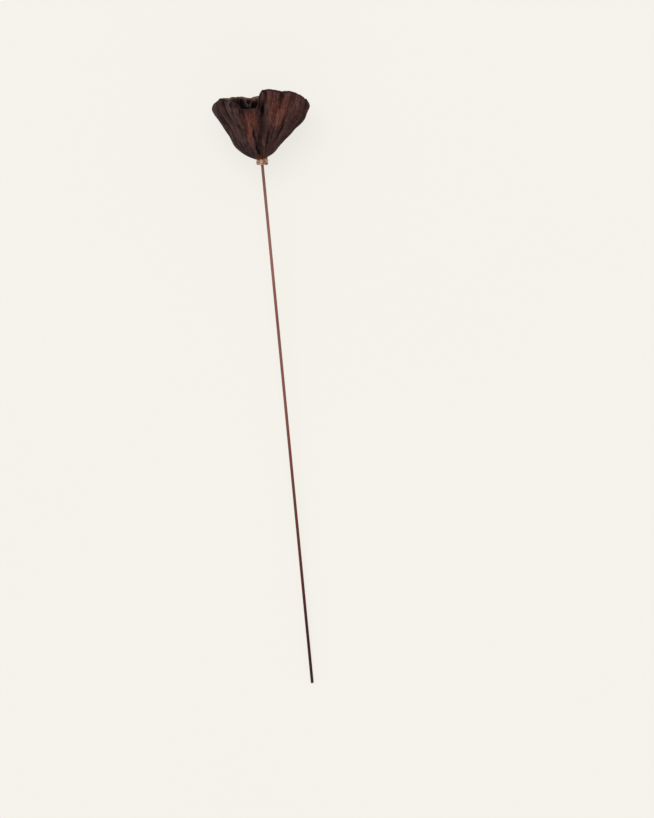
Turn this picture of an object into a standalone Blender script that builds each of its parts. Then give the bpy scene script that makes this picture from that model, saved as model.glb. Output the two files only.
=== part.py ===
"""A dried lotus seed pod on a thin stick, lying on its side.

The pod grew as one piece: a lumpy tan collar at its foot, a leathery wall that has dried into pleats,
a wavy rim that curls inwards, and a sunken top face with a lipped pit round each seed. The stick is
pushed into the collar. The part rests on two lobes of the rim and on the far end of the stick.

The pod is modelled upright in its own frame: origin in the middle of the collar's foot, +Z along the
pod's axis, and bearings in degrees round that axis, 0 towards -Y and 90 towards +X. Bearing 0 faces up
once the part is laid down. Lengths in the tables below are in millimetres, and become metres at the end.
"""

import math
import random

import bmesh
import bpy
import numpy as np
from mathutils import Matrix, Vector

MM = 0.001

# Driving dimensions of the pod, in millimetres
COLLAR_RADIUS = 5.0
COLLAR_HEIGHT = 5.7
NECK_TILT = 1.2  # how far the neck rises at bearing 90 and falls at bearing -90
NECK_RADIUS = 4.5
SHOULDER_DROP = 4.4  # from the rim's crest down to the widest ring of the wall
MARGIN = 12.5  # from the widest ring in to the edge of the top face
FACE_HEIGHT = 50.0  # middle of the top face above the foot
FACE_SAG = 2.5  # how far the edge of the top face lies below its middle
FACE_TILT = 2.5  # how far the face rises at bearing 180 and falls at bearing 0

# Driving dimensions of the stick, in millimetres
STICK_RADIUS = 1.4
STICK_LENGTH = 512.5
STICK_DEPTH = 18.0  # how far it is pushed into the pod
STICK_LEAN = 5.5  # degrees between the stick and the pod's axis
END_ROUNDING = 0.2
FIT_GAP = 0.3
FLAT_DEPTH = 0.5  # how far the two lowest lobes are flattened where they rest

# The outline from foot to top face. The collar's points are shares of its radius and height, and the rim's
# are millimetres in from the widest ring and down from the crest.
COLLAR_PROFILE = ((0.0, 0.0), (0.75, 0.0), (1.0, 0.25), (1.03, 0.65))
RIM_PROFILE = ((0.0, SHOULDER_DROP), (0.5, 1.8), (2.1, 0.0), (4.2, 1.7))
FACE_SHARES = (1.0, 2 / 3, 1 / 3, 0.0)
INNER_FOOT = (9.6, 1.8)  # the foot of the rim's inner side: in from the widest ring, up from the face

# Where each point of the outline lies along it, from 0 at the foot to 1 in the middle of the top face
STATIONS = (
    *(0.0, 0.08, 0.12, 0.16, 0.2),
    *(0.27, 0.36, 0.46, 0.56, 0.61),
    *(0.66, 0.7, 0.735, 0.765, 0.8),
    *(0.835, 0.89, 0.945, 1.0),
)
NECK, WIDEST, CREST, FACE_EDGE = 0.2, 0.66, 0.735, 0.835

# The lumps round the collar: how many, where the first is in degrees, and how high
COLLAR_LUMPS = ((4, -30, 0.45), (7, 0, 0.3))

# The wall between the neck and the widest ring: the share of its height, and how much of its widening it
# has reached there at bearing -90, where it bellies out low, and at bearing 90, where it is straighter
WALL = (
    (0.08, 0.235, 0.150),
    (0.25, 0.484, 0.330),
    (0.50, 0.645, 0.610),
    (0.75, 0.840, 0.882),
    (0.88, 0.945, 0.952),
)
WAVE_SHARE = 0.5  # how much of the rim's waves the edge of the top face follows
RIM_MEAN_HEIGHT = 61.0

# The rim, going round: bearing, radius of the widest ring, height of the crest
RIM = (
    (-178, 42.0, 66.6),
    (-172, 44.0, 65.8),
    (-162, 46.6, 64.8),
    (-150, 46.5, 65.6),
    (-135, 45.2, 64.6),
    (-120, 45.6, 63.6),
    (-105, 46.0, 59.2),
    (-92, 47.7, 56.6),
    (-84, 47.7, 57.2),
    (-74, 46.8, 58.9),
    (-62, 45.4, 62.6),
    (-49, 44.6, 61.2),
    (-40, 43.6, 58.6),
    (-33, 42.2, 55.6),
    (-26, 40.2, 53.2),
    (-15, 39.8, 52.8),
    (-9, 39.2, 53.2),
    (-6, 39.4, 56.5),
    (-3, 40.8, 66.5),
    (0, 42.2, 69.8),
    (8, 43.8, 70.9),
    (14, 44.6, 70.4),
    (24, 44.8, 69.4),
    (30, 44.4, 69.4),
    (38, 45.0, 68.5),
    (50, 45.8, 66.4),
    (62, 46.0, 63.4),
    (74, 45.8, 61.0),
    (86, 45.2, 58.6),
    (101, 44.2, 60.0),
    (115, 44.8, 62.0),
    (130, 44.3, 61.0),
    (145, 45.8, 62.6),
    (160, 46.6, 64.0),
    (171, 43.8, 64.4),
)

# The pleats: bearing at the rim, bearing at the foot, depth, half width in degrees at the rim on the
# side of lower bearings and on the other, and the stretch of the wall that each runs over, from 0 at
# the neck to 1 at the widest ring
PLEATS = (
    (6.0, -6.0, 4.2, 3.4, 4.6, 0.10, 1.30),
    (-7.0, -9.5, 1.6, 2.0, 1.8, 0.04, 0.50),
    (-16.5, -13.5, 2.6, 2.6, 2.4, 0.03, 0.74),
    (-29.0, -30.0, 3.0, 3.6, 4.2, 0.52, 1.30),
    (-35.5, -31.0, 1.4, 2.6, 2.6, 0.40, 1.20),
    (-44.0, -37.0, 2.6, 3.6, 3.6, 0.25, 1.30),
    (-56.0, -50.0, 3.0, 4.6, 5.4, 0.18, 1.25),
    (-72.0, -62.0, 1.6, 3.6, 4.0, 0.20, 0.95),
    (-87.0, -78.0, 1.8, 4.2, 4.2, 0.15, 0.90),
    (-107.0, -98.0, 4.0, 5.0, 5.0, 0.12, 1.30),
    (-127.0, -122.0, 3.0, 4.2, 4.2, 0.20, 1.30),
    (-144.0, -138.0, 2.4, 3.6, 3.6, 0.10, 1.15),
    (-162.0, -154.0, 3.2, 3.6, 3.8, 0.45, 1.35),
    (179.0, -176.0, 4.8, 5.5, 5.5, 0.10, 1.30),
    (152.0, 158.0, 3.0, 4.4, 4.4, 0.15, 1.30),
    (131.0, 137.0, 4.2, 5.0, 5.0, 0.12, 1.30),
    (107.0, 112.0, 3.0, 4.4, 4.4, 0.20, 1.30),
    (90.0, 92.0, 1.6, 3.8, 3.8, 0.08, 0.70),
    (69.0, 76.0, 1.6, 4.6, 4.2, 0.25, 1.20),
    (54.0, 60.0, 1.6, 4.0, 4.0, 0.20, 1.00),
    (40.5, 43.5, 2.8, 3.8, 3.4, 0.10, 0.84),
    (28.0, 25.0, 1.6, 3.6, 3.6, 0.66, 1.30),
    (17.0, 14.5, 1.8, 3.2, 3.2, 0.10, 0.66),
)

PLEAT_SHARPNESS = 1.4  # the power in a pleat's section; 2 is a soft valley, 1 a crease
PLEAT_DIP = 0.35  # how far a pleat pulls the crest down, as a share of its depth

# The pits in the top face: how many in each ring, and the ring's radius as a share of the face's
PIT_RINGS = ((1, 0.0), (6, 0.40), (12, 0.77))
PIT_RADIUS = 4.0
PIT_DEPTH = 6.5
LIP_RADIUS = 5.4
LIP_HEIGHT = 1.1
LIP_SUNK = 1.8
EMPTY_SHARE = 0.16  # the share of the pits whose seed has fallen out
SEED = 11

# Fineness of the solid
SEGMENTS = 112
SPAN_ROWS = (1, 1, 1, 1, 2, 2, 3, 3, 2, 2, 2, 1, 2, 2, 1, 2, 1, 1)  # rows in each span of the outline
PIT_SEGMENTS = 10
STICK_SIDES = 16

# Helper shapes, in millimetres
FLOOR_SIZE = 300.0
HOLE_OVERRUN = 2.0  # how far the cutter of the stick's hole reaches out of the collar
PIT_OVERRUN = 3.0  # how far a pit's cutter stands out of its mouth


def clear_scene():
    for obj in list(bpy.data.objects):
        bpy.data.objects.remove(obj, do_unlink=True)


def collection(name):
    made = bpy.data.collections.new(name)
    bpy.context.scene.collection.children.link(made)
    return made


def material(name, colour, roughness):
    made = bpy.data.materials.new(name)
    made.use_nodes = True
    shader = made.node_tree.nodes["Principled BSDF"]
    shader.inputs["Base Color"].default_value = (*colour, 1.0)
    shader.inputs["Roughness"].default_value = roughness
    shader.inputs["Metallic"].default_value = 0.0
    return made


def curve_slopes(knots, values):
    """The slope at each knot of a smooth curve through the values that never overshoots them."""
    steps = np.diff(knots).reshape(-1, *[1] * (values.ndim - 1))
    slopes = np.diff(values, axis=0) / steps
    before, after = slopes[:-1], slopes[1:]
    weight_before, weight_after = 2 * steps[1:] + steps[:-1], steps[1:] + 2 * steps[:-1]
    with np.errstate(divide="ignore", invalid="ignore"):
        mean = (weight_before + weight_after) / (weight_before / before + weight_after / after)
    middle = np.where(before * after > 0, mean, 0.0)
    return np.concatenate([slopes[:1], middle, slopes[-1:]])


def read_curve(knots, values, at):
    """Reads a smooth curve through values at rising knots. Values may hold a column for each place read."""
    knots, values, at = np.asarray(knots), np.asarray(values), np.asarray(at)
    span = np.clip(np.searchsorted(knots, at, side="right") - 1, 0, len(knots) - 2)
    start, end = (span, span + 1) if values.ndim == 1 else ((s, np.arange(len(at))) for s in (span, span + 1))
    slopes = curve_slopes(knots, values)
    width = knots[span + 1] - knots[span]
    share = (at - knots[span]) / width
    rest = 1 - share
    return (
        values[start] * (1 + 2 * share) * rest**2
        + slopes[start] * width * share * rest**2
        + values[end] * (1 + 2 * rest) * share**2
        - slopes[end] * width * rest * share**2
    )


def read_rim(column, bearing):
    """Reads a column of the rim's table at any bearing, as a smooth closed curve."""
    table = np.array(RIM, float)
    bearings = np.concatenate([table[:, 0] + turn for turn in (-360, 0, 360)])
    return read_curve(bearings, np.tile(table[:, column], 3), (bearing + 180) % 360 - 180)


def outline(bearing):
    """The outline's points at each bearing, as rows of radii and rows of heights, foot to top face."""
    widest, crest = read_rim(1, bearing), read_rim(2, bearing)
    flat = np.zeros_like(bearing)
    shoulder = crest - SHOULDER_DROP
    rightward = np.sin(np.radians(bearing))
    neck = COLLAR_HEIGHT + NECK_TILT * rightward
    edge = (
        FACE_HEIGHT
        - FACE_SAG
        + WAVE_SHARE * (crest - RIM_MEAN_HEIGHT)
        - FACE_TILT * np.cos(np.radians(bearing))
    )
    points = [(flat + COLLAR_RADIUS * r, flat + COLLAR_HEIGHT * h) for r, h in COLLAR_PROFILE]
    points.append((flat + NECK_RADIUS, neck))
    for share, left, right in WALL:
        radius = NECK_RADIUS + (widest - NECK_RADIUS) * (left + right + (right - left) * rightward) / 2
        points.append((radius, neck + (shoulder - neck) * share))
    points += [(widest - inwards, crest - down) for inwards, down in RIM_PROFILE]
    points.append((widest - INNER_FOOT[0], edge + INNER_FOOT[1]))
    for share in FACE_SHARES:
        points.append(((widest - MARGIN) * share, FACE_HEIGHT + (edge - FACE_HEIGHT) * share**2))
    return np.array([r for r, _ in points]), np.array([h for _, h in points])


def ramp(value, start, end):
    """0 before start, 1 after end, and smooth between."""
    share = np.clip((value - start) / (end - start), 0.0, 1.0)
    return share * share * (3 - 2 * share)


def pleat_depth(bearing, station):
    """How far the pleats pull the surface in, in millimetres."""
    share = (station - NECK) / (WIDEST - NECK)
    total = np.zeros_like(bearing)
    for at_rim, at_foot, depth, width_before, width_after, low, high in PLEATS:
        drift = (at_foot - at_rim + 180) % 360 - 180
        centre = at_rim + drift * (1 - np.clip(share, 0, 1)) ** 0.8
        away = (bearing - centre + 180) % 360 - 180
        half_width = np.where(away < 0, width_before, width_after)
        reach = ramp(share, low - 0.08, low + 0.22) * (1 - ramp(share, high - 0.2, high + 0.15))
        total += depth * reach * np.exp(-np.abs(away / half_width) ** PLEAT_SHARPNESS)
    return total


def pod_points(bearing, station):
    """The points of the pod's surface at these bearings and stations, in metres."""
    bearing, station = np.array(bearing, float), np.array(station, float)
    radii, heights = outline(bearing)
    radius = read_curve(STATIONS, radii, station)
    height = read_curve(STATIONS, heights, station)
    on_collar = ramp(station, 0.0, STATIONS[2]) * (1 - ramp(station, STATIONS[3], NECK + 0.04))
    for count, first, lump_height in COLLAR_LUMPS:
        radius = radius + lump_height * on_collar * np.cos(np.radians(count * bearing - first))
    depth = pleat_depth(bearing, station) * (1 - ramp(station, FACE_EDGE - 0.04, FACE_EDGE + 0.04))
    depth *= np.clip(radius / read_rim(1, bearing), 0, 1) ** 0.6
    radius = radius - depth
    height = height - PLEAT_DIP * depth * ramp(station, WIDEST, CREST)
    turn = np.radians(bearing)
    return np.stack([radius * np.sin(turn), -radius * np.cos(turn), height], axis=1) * MM


def rows_of_stations():
    """The station of each ring of the solid, between the two poles."""
    rows = []
    for start, end, count in zip(STATIONS, STATIONS[1:], SPAN_ROWS):
        rows += [start + (end - start) * step / count for step in range(count)]
    return rows[1:]


def make_pod_body():
    """A round primitive whose rings are moved onto the pod's surface."""
    stations = [0.0, *rows_of_stations(), 1.0]
    rings = len(stations) - 1
    shape = bmesh.new()
    bmesh.ops.create_uvsphere(shape, u_segments=SEGMENTS, v_segments=rings, radius=1.0)
    sphere = np.array([vertex.co for vertex in shape.verts])
    bearings = np.degrees(np.arctan2(sphere[:, 1], sphere[:, 0])) + 90
    ring_of = np.rint(np.arccos(np.clip(-sphere[:, 2], -1, 1)) / math.pi * rings).astype(int)
    for vertex, point in zip(shape.verts, pod_points(bearings, np.array(stations)[ring_of])):
        vertex.co = point
    return mesh_from(shape, "seed_pod")


def face_frame(bearing, share):
    """A place on the top face, this share of the way out to its edge, with Z halfway to the face's normal."""
    station = 1.0 - share * (1.0 - FACE_EDGE)
    near = pod_points([bearing, bearing, bearing + 4], [station, station - 0.02, station])
    here, outward, onward = (Vector(point) for point in near)
    out = (outward - here).normalized()
    across = onward - here if share > 0 else Vector((0, 0, 1)).cross(out)
    upright = (out.cross(across).normalized() + Vector((0, 0, 1))).normalized()
    return Matrix.Translation(here) @ upright.to_track_quat("Z", "Y").to_matrix().to_4x4()


def pit_places():
    """Where each pit goes in the pod's frame, and whether it still holds its seed."""
    chance = random.Random(SEED)
    places = []
    for count, ring in PIT_RINGS:
        start = chance.uniform(0, 360)
        for number in range(count):
            stray = count > 1
            bearing = start + 360 * number / count + chance.uniform(-4, 4) * stray
            share = ring + chance.uniform(-0.02, 0.02) * stray
            size = chance.uniform(0.9, 1.06)
            place = face_frame(bearing, share) @ Matrix.Scale(size, 4)
            places.append((place, chance.random() >= EMPTY_SHARE))
    return places


def mesh_from(shape, name):
    """Turns a finished bmesh into a mesh."""
    mesh = bpy.data.meshes.new(name)
    shape.to_mesh(mesh)
    shape.free()
    return mesh


def bar_mesh(name, low_radius, top_radius, low, top, segments):
    """A closed round bar or cone on the Z axis, from sizes in millimetres."""
    shape = bmesh.new()
    bmesh.ops.create_cone(
        shape,
        cap_ends=True,
        segments=segments,
        radius1=low_radius * MM,
        radius2=top_radius * MM,
        depth=(top - low) * MM,
        matrix=Matrix.Translation((0, 0, (top + low) / 2 * MM)),
    )
    return mesh_from(shape, name)


def lip_mesh():
    """A low wall round a pit's mouth, sunk into the top face."""
    return bar_mesh("pit_lip", LIP_RADIUS + 0.6, LIP_RADIUS - 0.3, -LIP_SUNK, LIP_HEIGHT, PIT_SEGMENTS)


def pit_mesh(with_seed):
    """Half the section of a pit, down its outer side. The rounded tip of its seed is left standing in it."""
    if with_seed:
        bottom = ((0.94, 1.0), (0.78, 1.0), (0.74, 0.55), (0.46, 0.28), (0.0, 0.2))
    else:
        bottom = ((0.95, 1.0), (0.2, 1.1), (0.0, 1.12))
    section = [(0, PIT_OVERRUN), (1.06 * PIT_RADIUS, PIT_OVERRUN), (PIT_RADIUS, 0)]
    section += [(r * PIT_RADIUS, -down * PIT_DEPTH) for r, down in bottom]
    mesh = bpy.data.meshes.new("pit")
    points = [(radius * MM, 0, height * MM) for radius, height in section]
    mesh.from_pydata(points, [(i, i + 1) for i in range(len(points) - 1)], [])
    return mesh


def add_helper(name, mesh, matrix, group):
    """A shape that is joined to the pod or cut from it."""
    helper = bpy.data.objects.new(name, mesh)
    group.objects.link(helper)
    helper.matrix_world = matrix
    helper.hide_render = True
    helper.display_type = "WIRE"
    return helper


def add_turn(helper):
    """Turns a section round its own Z axis."""
    screw = helper.modifiers.new("Turn", "SCREW")
    screw.steps = screw.render_steps = PIT_SEGMENTS
    screw.use_merge_vertices = True
    screw.merge_threshold = 0.00001


def apply_boolean(obj, operation, group):
    """Joins a collection's shapes to obj, or cuts them from it, and removes them."""
    join = obj.modifiers.new(group.name, "BOOLEAN")
    join.operation = operation
    join.operand_type = "COLLECTION"
    join.collection = group
    join.solver = "EXACT"
    bpy.context.view_layer.update()
    graph = bpy.context.evaluated_depsgraph_get()
    made = bpy.data.meshes.new_from_object(obj.evaluated_get(graph))
    obj.modifiers.clear()
    obj.data = made
    for helper in list(group.objects):
        bpy.data.objects.remove(helper, do_unlink=True)
    bpy.data.collections.remove(group)


def add_lips_and_pits(pod):
    places = pit_places()
    lips = collection("lips")
    lip = lip_mesh()
    for place, _ in places:
        add_helper("lip", lip, place, lips)
    apply_boolean(pod, "UNION", lips)
    pits = collection("pits")
    sections = {with_seed: pit_mesh(with_seed) for with_seed in (True, False)}
    for place, with_seed in places:
        add_turn(add_helper("pit", sections[with_seed], place, pits))
    apply_boolean(pod, "DIFFERENCE", pits)


def stick_frame():
    """The stick's own frame in the pod's: origin at the collar's foot, +Z up the stick into the pod."""
    return Matrix.Rotation(math.radians(-STICK_LEAN), 4, "Y")


def cut_stick_hole(pod):
    """The blind hole that the stick is glued in."""
    radius = STICK_RADIUS + FIT_GAP
    mesh = bar_mesh("hole", radius, radius, -HOLE_OVERRUN, STICK_DEPTH + FIT_GAP, STICK_SIDES)
    holes = collection("holes")
    add_helper("hole", mesh, stick_frame(), holes)
    apply_boolean(pod, "DIFFERENCE", holes)


def make_stick(group):
    """The round stick, its ends rubbed slightly round."""
    far_end = STICK_DEPTH - STICK_LENGTH
    mesh = bar_mesh("stem", STICK_RADIUS, STICK_RADIUS, far_end, STICK_DEPTH, STICK_SIDES)
    stick = bpy.data.objects.new("stem", mesh)
    group.objects.link(stick)
    stick.matrix_world = stick_frame()
    bevel = stick.modifiers.new("Rubbed ends", "BEVEL")
    bevel.width = END_ROUNDING * MM
    bevel.segments = 2
    bevel.limit_method = "ANGLE"
    bevel.angle_limit = math.radians(60)
    return stick


def stick_end():
    """Points round the stick's far end, in the pod's frame."""
    turns = [math.radians(angle) for angle in range(0, 360, 5)]
    height = STICK_DEPTH - STICK_LENGTH
    ring = [Vector((STICK_RADIUS * math.cos(t), STICK_RADIUS * math.sin(t), height)) * MM for t in turns]
    return np.array([stick_frame() @ point for point in ring])


def moved(matrix, points):
    matrix = np.array(matrix)
    return points @ matrix[:3, :3].T + matrix[:3, 3]


def lying(tilt, roll):
    """Lays the part down, stick along Y, then tilts its mouth up and rolls it, in degrees."""
    lay = Matrix.Rotation(math.radians(-STICK_LEAN), 4, "Z") @ Matrix.Rotation(math.radians(-90), 4, "X")
    roll_over = Matrix.Rotation(math.radians(roll), 4, "Y")
    return Matrix.Rotation(math.radians(tilt), 4, "X") @ roll_over @ lay


def crossing(low, high, difference):
    """Where a rising difference passes zero between low and high."""
    for _ in range(40):
        middle = (low + high) / 2
        if difference(middle) < 0:
            low = middle
        else:
            high = middle
    return (low + high) / 2


def resting_matrix(surface):
    """Turned so that a lobe of the rim on either side and the stick's far end all touch the floor."""
    sides = [surface[surface[:, 0] < 0], surface[surface[:, 0] > 0]]
    end = stick_end()

    def lowest(tilt, roll, points):
        return moved(lying(tilt, roll), points)[:, 2].min()

    def end_drop(tilt, roll):
        return lowest(tilt, roll, surface) + FLAT_DEPTH * MM - lowest(tilt, roll, end)

    def tilt_at(roll):
        return crossing(0, 15, lambda tilt: end_drop(tilt, roll))

    def side_drop(roll):
        left, right = (lowest(tilt_at(roll), roll, side) for side in sides)
        return left - right

    roll = crossing(-6, 6, side_drop)
    turned_down = lying(tilt_at(roll), roll)
    everything = moved(turned_down, np.vstack([surface, end]))
    low, high = everything.min(0), everything.max(0)
    middle = (low + high) / 2
    return Matrix.Translation((-middle[0], -middle[1], -low[2] - FLAT_DEPTH * MM)) @ turned_down


def cut_flats(pod, resting):
    """Takes off what would lie under the floor, which leaves a small flat on each lowest lobe."""
    shape = bmesh.new()
    bmesh.ops.create_cube(shape, size=FLOOR_SIZE * MM)
    bmesh.ops.translate(shape, verts=shape.verts, vec=(0, 0, -FLOOR_SIZE / 2 * MM))
    below_the_pod = Matrix.Translation((resting.translation.x, resting.translation.y, 0))
    floors = collection("floors")
    add_helper("floor", mesh_from(shape, "floor"), resting.inverted() @ below_the_pod, floors)
    apply_boolean(pod, "DIFFERENCE", floors)


def dress(obj, finish):
    obj.data.materials.clear()
    obj.data.materials.append(finish)
    obj.data.shade_smooth()
    obj.data.set_sharp_from_angle(angle=math.radians(50))


def main():
    clear_scene()
    parts = collection("dried_lotus_pod")
    body = make_pod_body()
    resting = resting_matrix(np.array([vertex.co for vertex in body.vertices]))
    pod = bpy.data.objects.new("seed_pod", body)
    parts.objects.link(pod)
    cut_flats(pod, resting)
    add_lips_and_pits(pod)
    cut_stick_hole(pod)
    stick = make_stick(parts)
    dress(pod, material("pod_skin", (0.050, 0.024, 0.019), 0.6))
    dress(stick, material("stick", (0.125, 0.042, 0.036), 0.5))
    pose = bpy.data.objects.new("resting_pose", None)
    parts.objects.link(pose)
    pose.matrix_world = resting
    for obj in (pod, stick):
        obj.parent = pose


main()
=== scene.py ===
"""The looks of a dried lotus seed pod on a thin stick, lying on a pale floor and seen from above.

The pod is modelled upright in its own frame, as in the solid: origin in the middle of the collar's foot,
+Z along the pod's axis, and bearings in degrees round that axis, 0 towards -Y and 90 towards +X. Bearing 0
faces the camera once the part is laid down. Lengths in the tables are in millimetres.
"""

import math
import random

import bpy
import numpy as np
from mathutils import Matrix, Vector
from mathutils.geometry import delaunay_2d_cdt


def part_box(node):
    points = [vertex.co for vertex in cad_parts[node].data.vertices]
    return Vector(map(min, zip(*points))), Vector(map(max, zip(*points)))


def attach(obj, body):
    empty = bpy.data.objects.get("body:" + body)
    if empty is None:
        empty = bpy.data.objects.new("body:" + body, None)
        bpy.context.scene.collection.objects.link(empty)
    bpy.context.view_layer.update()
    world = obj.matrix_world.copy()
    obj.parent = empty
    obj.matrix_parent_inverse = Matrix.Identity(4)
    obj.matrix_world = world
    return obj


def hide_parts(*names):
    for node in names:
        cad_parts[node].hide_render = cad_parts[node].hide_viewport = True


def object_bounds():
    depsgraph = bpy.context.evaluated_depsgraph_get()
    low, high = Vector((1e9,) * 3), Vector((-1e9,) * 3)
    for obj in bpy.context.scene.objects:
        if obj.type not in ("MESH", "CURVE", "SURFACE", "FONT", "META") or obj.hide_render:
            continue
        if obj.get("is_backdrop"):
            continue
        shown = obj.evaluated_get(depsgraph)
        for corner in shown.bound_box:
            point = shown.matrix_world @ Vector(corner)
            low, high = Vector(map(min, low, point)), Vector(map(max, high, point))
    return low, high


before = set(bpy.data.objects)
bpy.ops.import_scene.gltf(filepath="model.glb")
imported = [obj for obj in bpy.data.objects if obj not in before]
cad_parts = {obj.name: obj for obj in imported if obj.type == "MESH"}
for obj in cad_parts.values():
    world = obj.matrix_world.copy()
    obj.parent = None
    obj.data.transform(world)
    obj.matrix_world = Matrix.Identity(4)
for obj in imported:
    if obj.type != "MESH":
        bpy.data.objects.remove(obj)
CAD_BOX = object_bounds()

MM = 0.001

# The photograph's frame, and where the collar's foot and the stick's cut end are in it, in pixels
PHOTO_WIDTH, PHOTO_HEIGHT = 654, 818
FOOT_PIXEL = (262.3, 165.0)
END_PIXEL = (312.3, 683.0)
CAMERA_HEIGHT = 3.2  # metres above the floor

# Dimensions that the solid has too, in millimetres
COLLAR_RADIUS = 5.0
COLLAR_HEIGHT = 5.7
NECK_TILT = 1.2  # how much higher the collar's top is on the right
NECK_RADIUS = 4.5
SHOULDER_DROP = 4.4  # from the rim's crest down to the widest ring
MARGIN = 12.5  # from the widest ring in to the top face
FACE_HEIGHT = 50.0
FACE_SAG = 2.5
FACE_TILT = 2.5
STICK_RADIUS = 1.4
STICK_LENGTH = 512.45  # a hair short of the solid's, to stay in its box
STICK_DEPTH = 18.0
STICK_LEAN = 5.5  # degrees between the stick and the pod's axis
HOLE_CLEARANCE = 0.15
HOLE_HEIGHTS = (5.0, 0.35)  # of the rings that make the stick's hole
MOUTH_UP = 4.3141  # degrees that the laid pod's axis rises towards its mouth
ROLL = -1.3363  # degrees that it is rolled to rest on two lobes of its rim

# The outline, as in the solid. Stations run along it, from 0 at the foot to 1 in the middle of the top face.
COLLAR_PROFILE = ((0.0, 0.0), (0.75, 0.0), (1.0, 0.25), (1.03, 0.65))
RIM_PROFILE = ((0.0, SHOULDER_DROP), (0.5, 1.8), (2.1, 0.0), (4.2, 1.7))
FACE_SHARES = (1.0, 2 / 3, 1 / 3, 0.0)
INNER_FOOT = (9.6, 1.8)
STATIONS = (
    *(0.0, 0.08, 0.12, 0.16, 0.2),
    *(0.23, 0.27, 0.36, 0.46, 0.56, 0.61),
    *(0.66, 0.7, 0.735, 0.765, 0.8),
    *(0.835, 0.89, 0.945, 1.0),
)
NECK, WIDEST, CREST, FACE_EDGE = 0.2, 0.66, 0.735, 0.835
INNER_FOOT_POINT = 15  # where the foot of the rim's inner side is in the stations
COLLAR_LUMPS = ((4, -30, 0.45), (7, 0, 0.3))  # how many, their turn in degrees, height

# The wall from neck to widest ring: share of the way up, and of the way out on the left and the right
WALL = (
    (0.03, 0.100, 0.052),
    (0.08, 0.235, 0.150),
    (0.25, 0.490, 0.332),
    (0.50, 0.655, 0.616),
    (0.75, 0.850, 0.890),
    (0.88, 0.953, 0.954),
)

WAVE_SHARE = 0.5  # how far the top face's edge follows the rim's ups and downs
RIM_MEAN_HEIGHT = 61.0

# The rim, going round: bearing, radius of the widest ring, height of the crest
RIM = (
    (-178, 42, 66.6), (-172, 44, 65.8), (-159, 46.6, 64.6), (-149, 46.4, 65.1), (-135, 45.2, 64.6),
    (-120, 45.6, 63.6), (-105, 46, 59.2), (-92, 48, 56.6), (-84, 48, 57.2), (-74, 46.8, 58.9),
    (-62, 45.4, 62.6), (-49, 44.6, 61.2), (-40, 43.6, 59.4), (-34, 42.4, 57.6), (-30.5, 41.5, 54.2),
    (-27, 40.5, 52.4), (-15, 39.8, 52.8), (-9, 39.2, 53.2), (-6.2, 39.3, 54), (-4.6, 39.7, 58.5),
    (-2.3, 40.9, 65.8), (0.8, 42.2, 70), (4.2, 43, 71.3), (8, 43.8, 71.4), (14, 44.6, 70.9),
    (24, 44.8, 69.4), (30, 44.4, 69.4), (38, 45, 69.2), (50, 45.8, 67.3), (62, 45.9, 64.3),
    (74, 45.8, 62.4), (86, 45.15, 59.6), (101, 44.2, 60), (115, 44.8, 62), (130, 44.3, 61),
    (145, 45.8, 62.6), (160, 46.6, 64), (171, 43.8, 64.4),
)

# The pleats: bearing at the rim, bearing at the foot, depth, half width in degrees on either side, and
# the stretch of the wall that each runs over
PLEATS = (
    (4.4, -6, 4.2, 2.8, 6, 0.1, 1.3),
    (-7, -9.5, 1.6, 2, 1.8, 0.04, 0.5),
    (-16.5, -13.5, 2, 2.6, 2.4, 0.03, 0.74),
    (-29, -30, 3, 3.6, 4.2, 0.52, 1.3),
    (-35.5, -31, 1.4, 2.6, 2.6, 0.4, 1.2),
    (-44, -37, 2.6, 3.6, 3.6, 0.25, 1.3),
    (-56, -50, 2.2, 4.6, 5.4, 0.18, 1.25),
    (-72, -62, 1.6, 3.6, 4, 0.2, 0.95),
    (-87, -78, 1.8, 4.2, 4.2, 0.15, 0.9),
    (-107, -98, 4, 5, 5, 0.12, 1.3),
    (-127, -122, 3, 4.2, 4.2, 0.2, 1.3),
    (-144, -138, 2.4, 3.6, 3.6, 0.1, 1.15),
    (-162, -154, 3.2, 3.6, 3.8, 0.45, 1.35),
    (179, -176, 4.8, 5.5, 5.5, 0.1, 1.3),
    (152, 158, 3, 4.4, 4.4, 0.15, 1.3),
    (131, 137, 4.2, 5, 5, 0.12, 1.3),
    (107, 112, 3, 4.4, 4.4, 0.2, 1.3),
    (90, 92, 1.6, 3.8, 3.8, 0.08, 0.7),
    (69, 76, 1.6, 4.6, 4.2, 0.25, 1.2),
    (54, 60, 1.6, 4, 4, 0.2, 1),
    (40.5, 43.5, 2.8, 3.8, 3.4, 0.1, 0.84),
    (28, 25, 1.6, 3.6, 3.6, 0.66, 1.3),
    (17, 14.5, 1.8, 3.2, 3.2, 0.1, 0.66),
)
PLEAT_SHARPNESS = 1.4
PLEAT_DIP = 0.35  # how far a pleat pulls the rim down, as a share of its depth

# The pits in the top face, drawn in the same order as in the solid: how many, and how far out
PIT_RINGS = ((1, 0.0), (6, 0.40), (12, 0.77))
PIT_RADIUS = 4.0
LIP_HEIGHT = 1.1
EMPTY_SHARE = 0.16
SEED = 11

# A pit: the rings of its lip as shares of the mouth's radius, and its wall's share, depth and darkness, a
# painted shade that deepens down the pit
LIP_RINGS = (1.0, 1.05, 1.11, 1.18, 1.26, 1.36, 1.48)
PIT_SECTION = (
    (0.96, 0.0, 0.25), (0.94, 1.2, 0.5), (0.97, 2.8, 0.8), (0.99, 4.6, 1.0), (0.9, 6.0, 1.0), (0.6, 6.8, 1.0),
)
PIT_BOTTOM = 7.0

# A seed: its length, and its small tip as shares of its radius and of half its length
SEED_LENGTH = 9.2
SEED_TIP = ((0.035, 0.985), (0.06, 0.95), (0.085, 0.915))
SEED_SHOULDER = 0.9

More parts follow.
